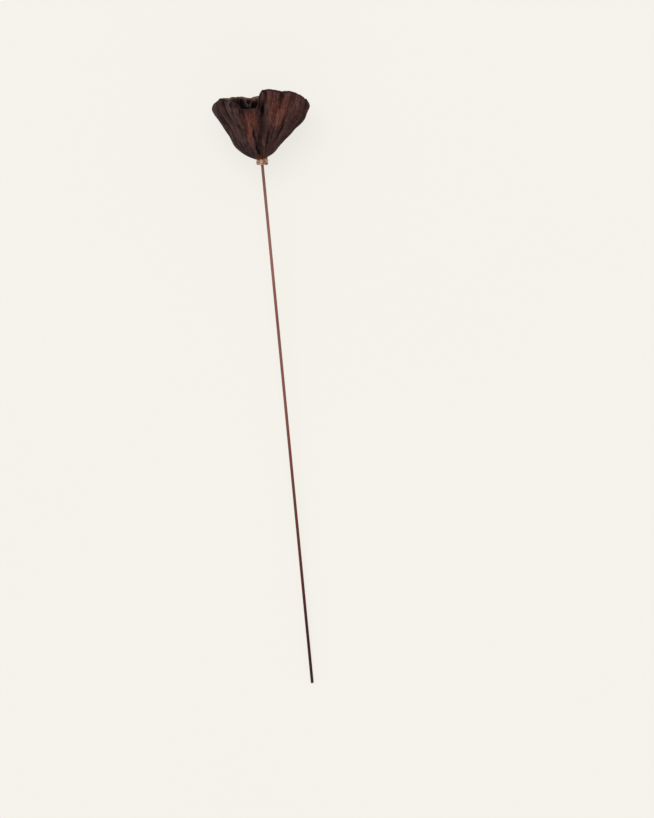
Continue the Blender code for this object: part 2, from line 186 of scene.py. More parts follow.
# The wrinkles of the dried skin: how many round the pod, how many up the wall, depth and width
WRINKLES = (
    (26, 3, 0.80, 0.12),
    (58, 5, 0.50, 0.15),
    (104, 10, 0.26, 0.20),
)
WANDER = 0.012  # how far the wrinkles stray round the pod, as a share of a turn
STROKE_WANDER = 4.0  # degrees that the strokes stray to either side

# Relief of the strokes below, in millimetres
GROOVE_DEPTH = 0.5
POCKET_DEPTH = 1.8
FOLD_HEIGHT = 0.7

# Strokes up the wall: bearing at the low end and at the high end, the stretch of the wall, half width in
# millimetres, strength. The stretch is a share of the way from the neck to the widest ring.
# Pale strokes: painted highlights on ridges and folded edges, and in part pale fibres of the skin.
PALE_STROKES = (
    (-44.5, -47.5, 0.86, 1.16, 0.8, 0.7),
    (-43.5, -41, 0.76, 0.94, 0.8, 0.5),
    (-34.8, -37, 0.9, 1.08, 0.9, 0.7),
    (-58.2, -59.3, 0.62, 0.67, 0.6, 1.1),
    (-73, -69.5, 0.46, 0.6, 0.6, 0.4),
    (-89, -76, 0.16, 0.36, 0.7, 0.4),
    (-57, -52, 0.2, 0.42, 0.6, 0.3),
    (-64, -66.5, 0.7, 0.94, 0.6, 0.5),
    (-14.5, -11, 0.24, 0.6, 0.5, 0.7),
    (-21.2, -21.5, 0.78, 1, 0.7, 0.5),
    (-22, -17.5, 0.6, 0.88, 0.6, 0.4),
    (-0.5, 1.8, 0.76, 1.06, 0.6, 1.2),
    (15, 10.5, 0.6, 0.96, 0.7, 0.35),
    (24, 25, 0.7, 0.78, 1.3, 1),
    (29, 29.5, 0.58, 0.8, 5, 0.45),
    (-21.5, -18, 0.58, 0.86, 4, 0.3),
    (14, 13, 0.66, 1.02, 3, 0.12),
    (9.6, 9.4, 0.4, 1.08, 2.2, 0.22),
    (-46, -44, 0.4, 0.96, 10, 0.18),
    (31.5, 31.5, 0.65, 0.72, 1.2, 0.8),
    (38, 38, 0.7, 0.78, 1.1, 0.6),
    (14, 13.5, 0.9, 0.99, 1.2, 0.2),
    (20.5, 20, 0.92, 1.02, 1.3, 0.3),
    (51, 50, 0.86, 0.99, 1.7, 0.5),
    (8, 4.5, 0.26, 0.41, 1.1, 0.35),
    (98, 101, 0.5, 0.9, 1, 0.5),
    (124, 121, 0.3, 0.62, 0.9, 0.6),
    (143, 142, 0.66, 1.05, 1.1, 0.6),
    (166, 167, 0.4, 0.84, 0.9, 0.5),
    (-168, -166, 0.55, 1.02, 1, 0.6),
    (-133, -136, 0.36, 0.8, 0.9, 0.5),
    (-116, -114, 0.62, 1.08, 1.1, 0.6),
)
# Dark strokes: painted shade along creases, which are grooved a little too; the wide weak ones darken broader
# stretches of the wall.
DARK_STROKES = (
    (-60.5, -58, 0.62, 1.02, 2.2, 0.15),
    (-31, -31.5, 0.72, 1.12, 0.9, 1),
    (-14, -14, 0.14, 0.52, 0.7, 1.2),
    (-14, -16.3, 0.46, 0.8, 0.5, 1.1),
    (-8.2, -6.5, 0.14, 0.56, 0.6, 1.1),
    (4.6, 3.4, 0.88, 1.12, 1.4, 0.8),
    (-1.6, -1.6, 0.8, 1.02, 1.3, 0.9),
    (5.6, 5.4, 0.4, 0.84, 4, 0.32),
    (57, 56, 0.3, 0.95, 10, 0.15),
    (16, 15, 0.84, 1.12, 9, 0.18),
    (43.5, 40.8, 0.38, 0.72, 0.8, 1),
    (63, 60.5, 0.62, 0.78, 0.6, 0.8),
    (15, 16.5, 0.3, 0.52, 0.7, 0.8),
    (-53, -56, 0.12, 0.42, 0.8, 0.6),
    (-76, -80, 0.5, 0.92, 0.8, 0.6),
    (84, 88, 0.3, 0.8, 0.8, 0.7),
    (118, 114, 0.5, 1.05, 0.8, 0.7),
    (160, 163, 0.2, 0.7, 0.8, 0.7),
    (-150, -147, 0.3, 0.9, 0.8, 0.7),
    (-112, -118, 0.2, 0.6, 0.8, 0.7),
)

# Strokes down the inner side of the rim, in the same columns. The stretch runs from 0 at the crest to 1 at
# the foot of the inner side. Pockets are hollowed out too and painted near black as shade; fold edges stand
# up and are painted paler as highlights.
POCKETS = (
    (-135, -135, 0.34, 0.75, 1.8, 0.9),
    (-140.5, -140.5, 0.38, 0.9, 1.8, 0.9),
    (-145.5, -145.5, 0.34, 1.1, 1.6, 0.9),
    (-150, -151, 0.42, 1.3, 3, 1.1),
    (-154.5, -154.5, 0.86, 1.3, 2.4, 1),
    (-161.5, -158.5, 0.38, 0.74, 1.9, 0.9),
    (-162, -161, 0.86, 1.3, 2.4, 1),
    (-168.5, -167, 0.64, 1.3, 3.4, 1.1),
    (-175.5, -175.5, 0.72, 1.3, 3, 0.9),
    (175, 175, 0.5, 1.2, 2, 0.7),
    (-118, -120, 0.3, 1, 1.8, 0.7),
    (-104, -106, 0.25, 0.9, 1.6, 0.8),
    (-70, -73, 0.3, 1, 1.8, 0.6),
    (-30, -27, 0.3, 1, 1.6, 0.7),
    (20, 17, 0.3, 1.1, 2, 0.8),
    (48, 51, 0.25, 0.9, 1.7, 0.7),
    (76, 79, 0.3, 1, 2, 0.8),
    (98, 96, 0.25, 0.9, 1.6, 0.7),
    (121, 124, 0.3, 1.1, 2, 0.8),
    (146, 143, 0.25, 1, 1.8, 0.8),
    (165, 168, 0.3, 1, 2, 0.8),
)
FOLD_EDGES = (
    (-153.5, -157.5, 0.4, 0.86, 0.8, 1.25),
    (-174, -158.3, 0.38, 0.86, 0.8, 1.25),
    (-130, -131, 0.3, 1.1, 1.2, 0.15),
    (-96, -97, 0.2, 0.9, 1, 0.5),
    (60, 62, 0.2, 1, 1, 0.5),
    (110, 108, 0.2, 1, 1, 0.5),
    (155, 157, 0.2, 1, 1, 0.5),
)

# Red-brown patches on the wall: bearing, share of the wall, half width in degrees, half height as a share
RED_PATCHES = (
    (-16.5, 0.85, 12.5, 0.21, 0.85), (-23.5, 0.64, 8.5, 0.18, 1), (-26, 0.42, 7, 0.12, 0.3),
    (-4.5, 0.62, 5, 0.18, 0.4), (1.6, 0.98, 1.8, 0.2, 0.4), (56, 0.78, 14, 0.2, 0.4),
    (46, 0.46, 24, 0.34, 0.25), (27, 0.74, 17, 0.22, 0.9), (18, 0.98, 12, 0.2, 0.6),
    (50, 0.92, 16, 0.2, 0.45), (40, 1.04, 12, 0.16, 0.3), (94, 0.7, 14, 0.3, 0.7),
    (140, 0.9, 13, 0.24, 0.8), (168, 0.55, 10, 0.3, 0.6), (-164, 0.85, 12, 0.3, 0.8),
    (-122, 0.6, 13, 0.3, 0.7), (-98, 0.92, 12, 0.2, 0.5),
)

# The stick's colour from its cut end, 0, to its top, 1, as screen colours
STICK_COLOURS = (
    (0.0, (44, 22, 18)), (0.03, (50, 10, 9)), (0.13, (66, 16, 15)),
    (0.27, (92, 40, 36)), (0.36, (102, 54, 48)), (0.43, (114, 56, 50)),
    (0.50, (124, 72, 62)), (0.61, (130, 84, 78)), (0.69, (132, 74, 70)),
    (0.76, (144, 92, 80)), (0.84, (150, 100, 90)), (0.92, (130, 84, 78)),
    (1.0, (120, 82, 76)),
)

# The floor, in metres
FLOOR_REACH = 12.0
FLOOR_DROP = 0.00005

# The light
SURROUND_STRENGTH = 0.62
SUN_STRENGTH = 1.45
SUN_DEGREES = 50
SUN_FROM = (-0.15, 0.30, 1.0)

# Fineness of the meshes
COLUMNS = 576
SPAN_ROWS = (4, 4, 4, 4, 4, 5, 12, 15, 16, 8, 8, 6, 6, 6, 5, 5)  # from each station to the next
PIT_COLUMNS = 40
SEED_COLUMNS = 28
SEED_ROWS = 16
FACE_SPACING = 0.75  # millimetres between the points of the top face
FACE_REACH = 45.0
STICK_COLUMNS = 24
STICK_ROWS = 260


def wrapped(degrees):
    """The same angle between -180 and 180 degrees."""
    return (degrees + 180) % 360 - 180


def ramp(value, start, end):
    """0 before start, 1 after end, and smooth between."""
    share = np.clip((value - start) / (end - start), 0.0, 1.0)
    return share * share * (3 - 2 * share)


def curve_slopes(knots, values):
    """The slope at each knot of a smooth curve through the values that never overshoots them."""
    steps = np.diff(knots).reshape(-1, *[1] * (values.ndim - 1))
    slopes = np.diff(values, axis=0) / steps
    before, after = slopes[:-1], slopes[1:]
    weight_before, weight_after = 2 * steps[1:] + steps[:-1], steps[1:] + 2 * steps[:-1]
    with np.errstate(divide="ignore", invalid="ignore"):
        mean = (weight_before + weight_after) / (weight_before / before + weight_after / after)
    middle = np.where(before * after > 0, mean, 0.0)
    return np.concatenate([slopes[:1], middle, slopes[-1:]])


def read_curve(knots, values, at):
    """Reads a smooth curve through values at rising knots. Values may hold a column for each place read."""
    knots, values, at = np.asarray(knots), np.asarray(values), np.asarray(at)
    span = np.clip(np.searchsorted(knots, at, side="right") - 1, 0, len(knots) - 2)
    start, end = span, span + 1
    if values.ndim > 1:
        start, end = ((place, np.arange(len(at))) for place in (start, end))
    slopes = curve_slopes(knots, values)
    width = knots[span + 1] - knots[span]
    share = (at - knots[span]) / width
    rest = 1 - share
    return (
        values[start] * (1 + 2 * share) * rest**2
        + slopes[start] * width * share * rest**2
        + values[end] * (1 + 2 * rest) * share**2
        - slopes[end] * width * rest * share**2
    )


def read_rim(column, bearing):
    """Reads a column of the rim's table at any bearing, as a smooth closed curve."""
    table = np.array(RIM, float)
    bearings = np.concatenate([table[:, 0] + turn for turn in (-360, 0, 360)])
    return read_curve(bearings, np.tile(table[:, column], 3), wrapped(bearing))


def outline(bearing):
    """The outline's points at each bearing, as rows of radii and rows of heights, foot to top face."""
    widest, crest = read_rim(1, bearing), read_rim(2, bearing)
    flat = np.zeros_like(bearing)
    shoulder = crest - SHOULDER_DROP
    rightward = np.sin(np.radians(bearing))
    neck = COLLAR_HEIGHT + NECK_TILT * rightward
    sag = FACE_SAG + FACE_TILT * np.cos(np.radians(bearing))
    edge = FACE_HEIGHT - sag + WAVE_SHARE * (crest - RIM_MEAN_HEIGHT)
    points = [(flat + COLLAR_RADIUS * r, flat + COLLAR_HEIGHT * h) for r, h in COLLAR_PROFILE]
    points.append((flat + NECK_RADIUS, neck))
    for share, left, right in WALL:
        radius = NECK_RADIUS + (widest - NECK_RADIUS) * (left + right + (right - left) * rightward) / 2
        points.append((radius, neck + (shoulder - neck) * share))
    points += [(widest - inwards, crest - down) for inwards, down in RIM_PROFILE]
    points.append((widest - INNER_FOOT[0], edge + INNER_FOOT[1]))
    for share in FACE_SHARES:
        points.append(((widest - MARGIN) * share, FACE_HEIGHT + (edge - FACE_HEIGHT) * share**2))
    return np.array([r for r, _ in points]), np.array([h for _, h in points])


def pleat_depth(bearing, station):
    """How far the pleats pull the surface in, in millimetres."""
    share = (station - NECK) / (WIDEST - NECK)
    total = np.zeros_like(bearing)
    for at_rim, at_foot, depth, width_before, width_after, low, high in PLEATS:
        centre = at_rim + wrapped(at_foot - at_rim) * (1 - np.clip(share, 0, 1)) ** 0.8
        away = wrapped(bearing - centre)
        half_width = np.where(away < 0, width_before, width_after)
        reach = ramp(share, low - 0.08, low + 0.22) * (1 - ramp(share, high - 0.2, high + 0.15))
        total += depth * reach * np.exp(-np.abs(away / half_width) ** PLEAT_SHARPNESS)
    return total


def pod_points(bearing, station):
    """The points of the pod's surface at these bearings and stations, in metres."""
    bearing, station = np.array(bearing, float), np.array(station, float)
    radii, heights = outline(bearing)
    radius = read_curve(STATIONS, radii, station)
    height = read_curve(STATIONS, heights, station)
    on_collar = ramp(station, 0.0, STATIONS[2]) * (1 - ramp(station, STATIONS[3], NECK + 0.04))
    for count, first, lump_height in COLLAR_LUMPS:
        radius = radius + lump_height * on_collar * np.cos(np.radians(count * bearing - first))
    depth = pleat_depth(bearing, station) * (1 - ramp(station, FACE_EDGE - 0.04, FACE_EDGE + 0.04))
    depth *= np.clip(radius / read_rim(1, bearing), 0, 1) ** 0.6
    radius = radius - depth
    height = height - PLEAT_DIP * depth * ramp(station, WIDEST, CREST)
    turn = np.radians(bearing)
    return np.stack([radius * np.sin(turn), -radius * np.cos(turn), height], axis=1) * MM


def perlin(seed, around, up, cells_around, cells_up):
    """Gradient noise, about -0.7 to 0.7, over 0 to 1 both ways. It closes on itself in the first."""
    angles = np.random.default_rng(seed).uniform(0, 2 * math.pi, (cells_up + 2, cells_around))
    x, y = (around % 1) * cells_around, np.clip(up, 0, 1) * cells_up
    column, row = np.floor(x).astype(int), np.floor(y).astype(int)
    fx, fy = x - column, y - row
    fade_x, fade_y = (f**3 * (f * (6 * f - 15) + 10) for f in (fx, fy))

    def corner(i, j):
        angle = angles[row + j, (column + i) % cells_around]
        return np.cos(angle) * (fx - i) + np.sin(angle) * (fy - j)

    low = corner(0, 0) * (1 - fade_x) + corner(1, 0) * fade_x
    high = corner(0, 1) * (1 - fade_x) + corner(1, 1) * fade_x
    return low * (1 - fade_y) + high * fade_y


def wrinkle_depth(bearing, station):
    """The depth of the skin's wrinkles in millimetres, how creased it is, and where it stands up between."""
    around = bearing / 360
    around = around + WANDER * perlin(21, around, station, 9, 5)
    crease, ridge = np.zeros_like(bearing), np.ones_like(bearing)
    for number, (cells_around, cells_up, depth, width) in enumerate(WRINKLES):
        noise = np.abs(perlin(31 + number, around, station, cells_around, cells_up))
        crease += depth * np.exp(-((noise / width) ** 1.3))
        ridge *= ramp(noise, 0.02, 0.30)
    dents = 0.6 * np.clip(perlin(41, around, station, 18, 12), 0, 1)
    ribs = 0.10 * perlin(42, around, station, 170, 7)
    puckers = 0.35 * np.abs(perlin(43, around, station, 44, 60)) * ramp(station, 0.50, 0.66)
    return crease + dents + ribs + puckers, crease, ridge


def strokes(table, bearing, share, radius):
    """How strongly each place is covered by a table's strokes."""
    cover = np.zeros_like(bearing)
    for at_low, at_high, low, high, half_width, strength in table:
        centre = at_low + (at_high - at_low) * np.clip((share - low) / (high - low), 0, 1)
        away = np.radians(wrapped(bearing - centre)) * radius
        along = ramp(share, low - 0.04, low + 0.06) * (1 - ramp(share, high - 0.06, high + 0.04))
        cover = np.maximum(cover, strength * along * np.exp(-((away / half_width) ** 2)))
    return cover


def patches(bearing, share):
    """How red-brown each place is."""
    cover = np.zeros_like(bearing)
    for at, middle, half_width, half_height, strength in RED_PATCHES:
        away = wrapped(bearing - at) / half_width
        cover = np.maximum(cover, strength * np.exp(-(away**4) - ((share - middle) / half_height) ** 4))
    return cover


def add_object(name, data):
    """Puts a new object into the scene."""
    made = bpy.data.objects.new(name, data)
    bpy.context.scene.collection.objects.link(made)
    return made


class Shape:
    """Collects the points, faces and paint masks of one mesh."""

    MASKS = ("fold", "ridge", "rim", "inside", "face", "collar", "pit", "pale", "edge", "red", "dark")

    def __init__(self):
        self.points, self.faces = [], []
        self.masks = {name: [] for name in self.MASKS}
        self.count = 0

    def add(self, points, **masks):
        """Adds points and returns their numbers."""
        points = np.asarray(points, float).reshape(-1, 3)
        self.points.append(points)
        for name in self.MASKS:
            self.masks[name].append(np.broadcast_to(masks.get(name, 0.0), len(points)))
        first = self.count
        self.count += len(points)
        return np.arange(first, self.count)

    def bridge(self, ring, next_ring):
        """Joins two closed rings with quads."""
        quads = np.stack([ring, np.roll(ring, -1), np.roll(next_ring, -1), next_ring], axis=1)
        self.faces += quads.tolist()

    def cap(self, centre, ring, at_end=False):
        """Closes a ring with a fan, at the start of the surface's way up or at its end."""
        centres, onward = np.full(len(ring), centre), np.roll(ring, -1)
        corners = [ring, onward, centres] if at_end else [centres, onward, ring]
        self.faces += np.stack(corners, axis=1).tolist()

    def make(self, name, material):
        """Makes the piece, laid down. Its points in the pod's own frame are kept for the material."""
        points = np.concatenate(self.points)
        mesh = bpy.data.meshes.new(name)
        mesh.from_pydata(moved(POD, points).tolist(), [], self.faces)
        upright = mesh.attributes.new("upright", "FLOAT_VECTOR", "POINT")
        upright.data.foreach_set("vector", points.astype(np.float32).ravel())
        for mask in self.MASKS:
            values = np.concatenate(self.masks[mask]).astype(np.float32)
            if values.any():
                mesh.attributes.new(mask, "FLOAT", "POINT").data.foreach_set("value", values)
        mesh.materials.append(material)
        mesh.shade_smooth()
        return add_object(name, mesh)


def turned(degrees, axis):
    """A turn by so many degrees round one of the three axes."""
    return Matrix.Rotation(math.radians(degrees), 4, axis)


def stick_frame():
    """The stick's own frame in the pod's: origin at the collar's foot, +Z up the stick into the pod."""
    return turned(-STICK_LEAN, "Y")


def find_pod_frame():
    """The laid pod's frame. Its turn is the solid's, and its place comes from the solid stick's box."""
    lay = turned(-STICK_LEAN, "Z") @ turned(-90, "X")
    turn = turned(MOUTH_UP, "X") @ turned(ROLL, "Y") @ lay
    low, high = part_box("stem")
    rise = math.radians(MOUTH_UP)
    radius = STICK_RADIUS * MM
    top = Vector(((low.x + high.x) / 2, high.y - radius * math.sin(rise), high.z - radius * math.cos(rise)))
    foot = top - turn @ stick_frame() @ Vector((0, 0, STICK_DEPTH * MM))
    return Matrix.Translation(foot) @ turn


POD = find_pod_frame()


def moved(matrix, points):
    """The points as the matrix takes them."""
    matrix = np.array(matrix)
    return points @ matrix[:3, :3].T + matrix[:3, 3]


def all_round(count):
    """So many equal steps of a full turn, in radians."""
    return np.arange(count) * 2 * math.pi / count


def circle(radius, turns, height):
    """Points round the Z axis at these turns, in radians."""
    return np.stack([radius * np.cos(turns), radius * np.sin(turns), height + 0 * turns], axis=1)


def press_to_floor(points):
    """Lifts what would lie under the floor up to it, for points in the pod's frame."""
    world = moved(POD, points)
    world[:, 2] = np.maximum(world[:, 2], 0.01 * MM)
    return moved(POD.inverted(), world)


def grid_normals(grid):
    """Outward normals of a grid of points that is closed along its second axis."""
    around = np.roll(grid, -1, axis=1) - np.roll(grid, 1, axis=1)
    up = np.gradient(grid, axis=0)
    normals = np.cross(around, up)
    return normals / np.maximum(np.linalg.norm(normals, axis=2, keepdims=True), 1e-12)


def row_stations():
    """The station of each row from the foot to the edge of the top face."""
    rows = []
    for start, end, count in zip(STATIONS, STATIONS[1:], SPAN_ROWS):
        rows += [start + (end - start) * step / count for step in range(count)]
    return np.array([*rows[2:], FACE_EDGE])


def collar_scars(bearing, station):
    """The knobbly scars that the petals and stamens left round the collar, in millimetres."""
    around, up = bearing / 360, station / NECK
    knobs = perlin(51, around, up, 26, 5) * 1.3 + perlin(52, around, up, 48, 9) * 0.6
    return 0.28 * knobs * ramp(station, 0.08, 0.12) * (1 - ramp(station, 0.18, 0.215))


def wall_relief(bearing, station, radius):
    """How far the skin stands out from the smooth wall, in millimetres, and its paint masks."""
    wrinkles, crease, ridge = wrinkle_depth(bearing, station)
    on_wall = ramp(station, NECK - 0.01, NECK + 0.05) * (radius / read_rim(1, bearing)) ** 0.8
    fade = on_wall * (1 - 0.5 * ramp(station, WIDEST, CREST)) * (1 - ramp(station, 0.81, FACE_EDGE))
    share = (station - NECK) / (WIDEST - NECK)
    strayed = bearing + STROKE_WANDER * perlin(44, bearing / 360, station, 40, 16)
    outside = 1 - ramp(station, CREST - 0.01, CREST + 0.02)
    depth_inside = (station - CREST) / (STATIONS[INNER_FOOT_POINT] - CREST)
    pockets = strokes(POCKETS, strayed, depth_inside, radius) * (1 - outside)
    edges = strokes(FOLD_EDGES, strayed, depth_inside, radius) * (1 - outside)
    dark = strokes(DARK_STROKES, strayed, share, radius) * outside
    push = collar_scars(bearing, station) - (wrinkles + GROOVE_DEPTH * dark) * fade
    push += (FOLD_HEIGHT * edges - POCKET_DEPTH * pockets) * (1 - ramp(station, 0.80, FACE_EDGE))
    # The fold mask paints shade into the pleats and the wrinkles' creases; the dark strokes and the pockets
    # are painted shade too.
    fold = 0.14 * pleat_depth(bearing, station) * on_wall + 0.45 * crease * fade
    masks = {
        "fold": np.clip(fold, 0, 1),
        "ridge": ridge * fade,
        "rim": np.exp(-(((station - CREST - 0.014) / 0.018) ** 2)),
        "inside": ramp(station, CREST + 0.008, CREST + 0.03),
        "face": ramp(station, 0.79, FACE_EDGE),
        "collar": 1 - ramp(station, NECK - 0.02, NECK + 0.02),
        "pale": strokes(PALE_STROKES, strayed, share, radius) * outside,
        "edge": edges + np.exp(-(((share - 1.13) / 0.06) ** 2)) * outside,
        "red": patches(strayed, share) * outside,
        "dark": dark + pockets,
    }
    return push, masks


def make_wall(shape):
    """The pod's outer surface, from the foot over the rim to the edge of the top face.

    Returns its first and its last ring, and the last ring's points.
    """
    stations = row_stations()
    bearings = np.arange(COLUMNS) * 360 / COLUMNS
    station, bearing = (grid.ravel() for grid in np.meshgrid(stations, bearings, indexing="ij"))
    size = (len(stations), COLUMNS)
    points = pod_points(bearing, station)
    normals = grid_normals(points.reshape(*size, 3)).reshape(-1, 3)
    push, masks = wall_relief(bearing, station, np.hypot(points[:, 0], points[:, 1]) / MM)
    points = press_to_floor(points + normals * push[:, None] * MM)
    numbers = shape.add(points, **masks).reshape(size)
    for row, next_row in zip(numbers, numbers[1:]):
        shape.bridge(row, next_row)
    return numbers[0], numbers[-1], points.reshape(*size, 3)[-1]


def make_stick_hole(shape, foot_ring):
    """The low part of the stick's hole, which is all that could be seen of it."""
    turns = all_round(COLUMNS) - math.pi / 2
    rings = []
    # The pit mask paints shade into the hole.
    for height in HOLE_HEIGHTS:
        points = circle(STICK_RADIUS + HOLE_CLEARANCE, turns, height)
        rings.append(shape.add(moved(stick_frame(), points * MM), collar=1.0, pit=0.6))
    end = moved(stick_frame(), np.array([[0, 0, HOLE_HEIGHTS[0] * MM]]))
    shape.cap(shape.add(end, collar=1.0, pit=1.0)[0], rings[0])
    shape.bridge(rings[0], rings[1])
    shape.bridge(rings[1], foot_ring)


def face_frame(bearing, share):
    """A place on the top face, this share of the way out to its edge, with Z halfway to the face's normal."""
    station = 1.0 - share * (1.0 - FACE_EDGE)
    near = pod_points([bearing, bearing, bearing + 4], [station, station - 0.02, station])
    here, outward, onward = (Vector(point) for point in near)
    out = (outward - here).normalized()
    across = onward - here if share > 0 else Vector((0, 0, 1)).cross(out)
    upright = (out.cross(across).normalized() + Vector((0, 0, 1))).normalized()
    return Matrix.Translation(here) @ upright.to_track_quat("Z", "Y").to_matrix().to_4x4()


def pit_places():
    """Where each pit goes in the pod's frame, its size, and whether it still holds its seed."""
    chance = random.Random(SEED)
    places = []
    for count, ring in PIT_RINGS:
        start = chance.uniform(0, 360)
        for number in range(count):
            stray = count > 1
            bearing = start + 360 * number / count + chance.uniform(-4, 4) * stray
            share = ring + chance.uniform(-0.02, 0.02) * stray
            size = chance.uniform(0.9, 1.06)
            places.append((face_frame(bearing, share), size, chance.random() >= EMPTY_SHARE))
    return places


class Pit:
    """One pit in the top face, with its slightly uneven mouth."""

    def __init__(self, number, place, size, with_seed):
        chance = random.Random(100 + number)
        self.place, self.size, self.with_seed = place, size, with_seed
        self.waves = [(count, chance.uniform(0, 6.28), chance.uniform(0.02, 0.05)) for count in (2, 3, 5)]
        self.folds = [(count, chance.uniform(0, 6.28)) for count in (9, 14, 22)]
        self.lean = (chance.uniform(-14, 14), chance.uniform(-14, 14))
        self.turns = all_round(PIT_COLUMNS)

    def mouth(self, turn):
        """The radius of the mouth's edge at each turn, in millimetres."""
        wave = sum(depth * np.cos(count * turn + phase) for count, phase, depth in self.waves)
        return PIT_RADIUS * self.size * (1 + wave)

    def ring(self, share, drop=0.0):
        """Points round the pit at this share of the mouth's radius, and this far down, in the pod's frame."""
        return moved(self.place, circle(self.mouth(self.turns) * share, self.turns, -drop) * MM)

    def reach(self, points):
        """How far points are from the pit's middle, as a share of its mouth's radius, and their turn."""
        local = moved(self.place.inverted(), points) / MM
        turn = np.arctan2(local[:, 1], local[:, 0])
        return np.hypot(local[:, 0], local[:, 1]) / self.mouth(turn), turn

    def lip(self, points):
        """How far the lip and the puckered skin round it stand up, in millimetres."""
        share, turn = self.reach(points)
        wall = LIP_HEIGHT * np.exp(-np.abs((share - 1.16) / 0.17) ** 2.4)
        moat = -0.45 * np.exp(-(((share - 1.62) / 0.2) ** 2))
        pucker = sum(np.cos(count * turn + phase) for count, phase in self.folds)
        return wall + moat + 0.09 * pucker * ramp(share, 1.05, 1.3) * (1 - ramp(share, 1.5, 2.0))


def face_height(points, border):
    """The top face's height over these points, in metres: a sagging skin held at its border."""
    bearing = np.degrees(np.arctan2(points[:, 0], -points[:, 1]))
    rim_bearing = np.degrees(np.arctan2(border[:, 0], -border[:, 1]))
    order = np.argsort(rim_bearing)
    rim_radius = np.hypot(border[order, 0], border[order, 1])
    radius = np.interp(bearing, rim_bearing[order], rim_radius, period=360)
    height = np.interp(bearing, rim_bearing[order], border[order, 2], period=360)
    share = np.hypot(points[:, 0], points[:, 1]) / radius
    middle = FACE_HEIGHT * MM
    return middle + (height - middle) * share**2, share


def face_wrinkles(points):
    """Soft wrinkles of the top face, in millimetres."""
    x, y = points[:, 0] / 0.1 + 0.5, points[:, 1] / 0.1 + 0.5
    broad = perlin(61, x, y, 13, 13)
    creased = -np.exp(-(np.abs(perlin(62, x, y, 24, 24)) / 0.12) ** 1.3)
    fine = perlin(63, x, y, 70, 70)
    return 0.9 * broad + 0.40 * creased + 0.12 * fine


def scattered(spacing, reach, chance):
    """Jittered points on a triangular grid in a disc, in millimetres."""
    points = []
    rows = int(reach / (spacing * 0.866))
    for row in range(-rows, rows + 1):
        for column in range(-rows - 1, rows + 2):
            x = (column + 0.5 * (row % 2)) * spacing
            y = row * spacing * 0.866
            if math.hypot(x, y) < reach:
                points.append((x + chance.uniform(-0.12, 0.12), y + chance.uniform(-0.12, 0.12)))
    return points


def face_outlines(border, pits):
    """The flat points of the border and the pits' rings, the edges to keep, and where each mouth starts."""
    flat = border[:, :2].tolist()
    edges = [(i, (i + 1) % COLUMNS) for i in range(COLUMNS)]
    mouths = []
    for pit in pits:
        mouths.append(len(flat))
        edges += [(len(flat) + i, len(flat) + (i + 1) % PIT_COLUMNS) for i in range(PIT_COLUMNS)]
        for share in LIP_RINGS:
            flat += pit.ring(share)[:, :2].tolist()
    return flat, edges, mouths


def loose_points(border, pits):
    """Scattered flat points for the skin between the pits."""
    loose = np.array(scattered(FACE_SPACING, FACE_REACH, random.Random(71))) * MM
    height, share = face_height(loose, border)
    free = share < 1 - 0.6 * FACE_SPACING / 35
    for pit in pits:
        free &= pit.reach(np.column_stack([loose, height]))[0] > LIP_RINGS[-1] + 0.08
    return loose[free].tolist()


def lift_face(plan, border, pits):
    """Gives the flat points their height. Returns how many mouths each is from a pit, and its relief."""
    height, share = face_height(plan, border)
    lift = face_wrinkles(plan) * (1 - ramp(share, 0.8, 0.98))
    plan[:, 2] = height
    nearest = np.full(len(plan), 9.0)
    lips = np.zeros(len(plan))
    for pit in pits:
        reach = pit.reach(plan)[0]
        nearest = np.minimum(nearest, reach)
        lips += pit.lip(plan) * (reach < 2.4)
    lift = lift * ramp(nearest, 1.1, 1.9) + lips * (1 - ramp(share, 0.97, 1.0))
    plan[:, 2] += lift * MM
    return nearest, lift


def skin_triangles(plan, triangles, border, pits):
    """The triangles between the border and the pits' mouths, each turned to face up."""
    middles = plan[np.array(triangles)].mean(axis=1)
    inside = face_height(middles, border)[1] < 1.0
    for pit in pits:
        inside &= pit.reach(middles)[0] > 1.0 - 1e-3
    for keep, (a, b, c) in zip(inside, triangles):
        if keep:
            turn = np.cross(plan[b, :2] - plan[a, :2], plan[c, :2] - plan[a, :2])
            yield (a, b, c) if turn > 0 else (a, c, b)


def make_face(shape, border_ring, border, pits):
    """The top face, triangulated between the wall's last ring and the mouths of the pits."""
    flat, edges, mouths = face_outlines(border, pits)
    flat += loose_points(border, pits)
    flat = [Vector(point) for point in flat]
    found, _, triangles, sources, _, _ = delaunay_2d_cdt(flat, edges, [], 0, 1e-7)
    plan = np.array([(p.x, p.y, 0.0) for p in found])
    nearest, lift = lift_face(plan, border, pits)
    number_of = np.full(len(plan), -1)
    for index, source in enumerate(sources):
        on_border = [i for i in source if i < COLUMNS]
        if on_border:
            number_of[index] = border_ring[on_border[0]]
    new = number_of < 0
    lip_mask = np.exp(-np.abs((nearest[new] - 1.14) / 0.12) ** 2)
    # Hollows of the top face get the fold mask, which paints shade into them.
    hollow = np.clip(-lift[new] * 0.8, 0, 1)
    number_of[new] = shape.add(plan[new], face=1.0, inside=1.0, ridge=0.8 * lip_mask, fold=hollow)
    for corners in skin_triangles(plan, triangles, border, pits):
        shape.faces.append([int(number_of[i]) for i in corners])
    place_of = {source: index for index, group in enumerate(sources) for source in group}
    for pit, first in zip(pits, mouths):
        edge = np.array([number_of[place_of[first + i]] for i in range(PIT_COLUMNS)])
        make_pit(shape, pit, edge)


def make_pit(shape, pit, edge):
    """The pit's own wall and floor, down from its edge."""
    ring = edge
    for share, drop, shade in PIT_SECTION:
        below = shape.add(pit.ring(share, drop), face=1.0, inside=1.0, pit=shade)
        shape.bridge(ring, below)
        ring = below
    centre = shape.add(pit.ring(0.0, PIT_BOTTOM)[:1], face=1.0, inside=1.0, pit=1.0)[0]
    shape.cap(centre, ring, at_end=True)


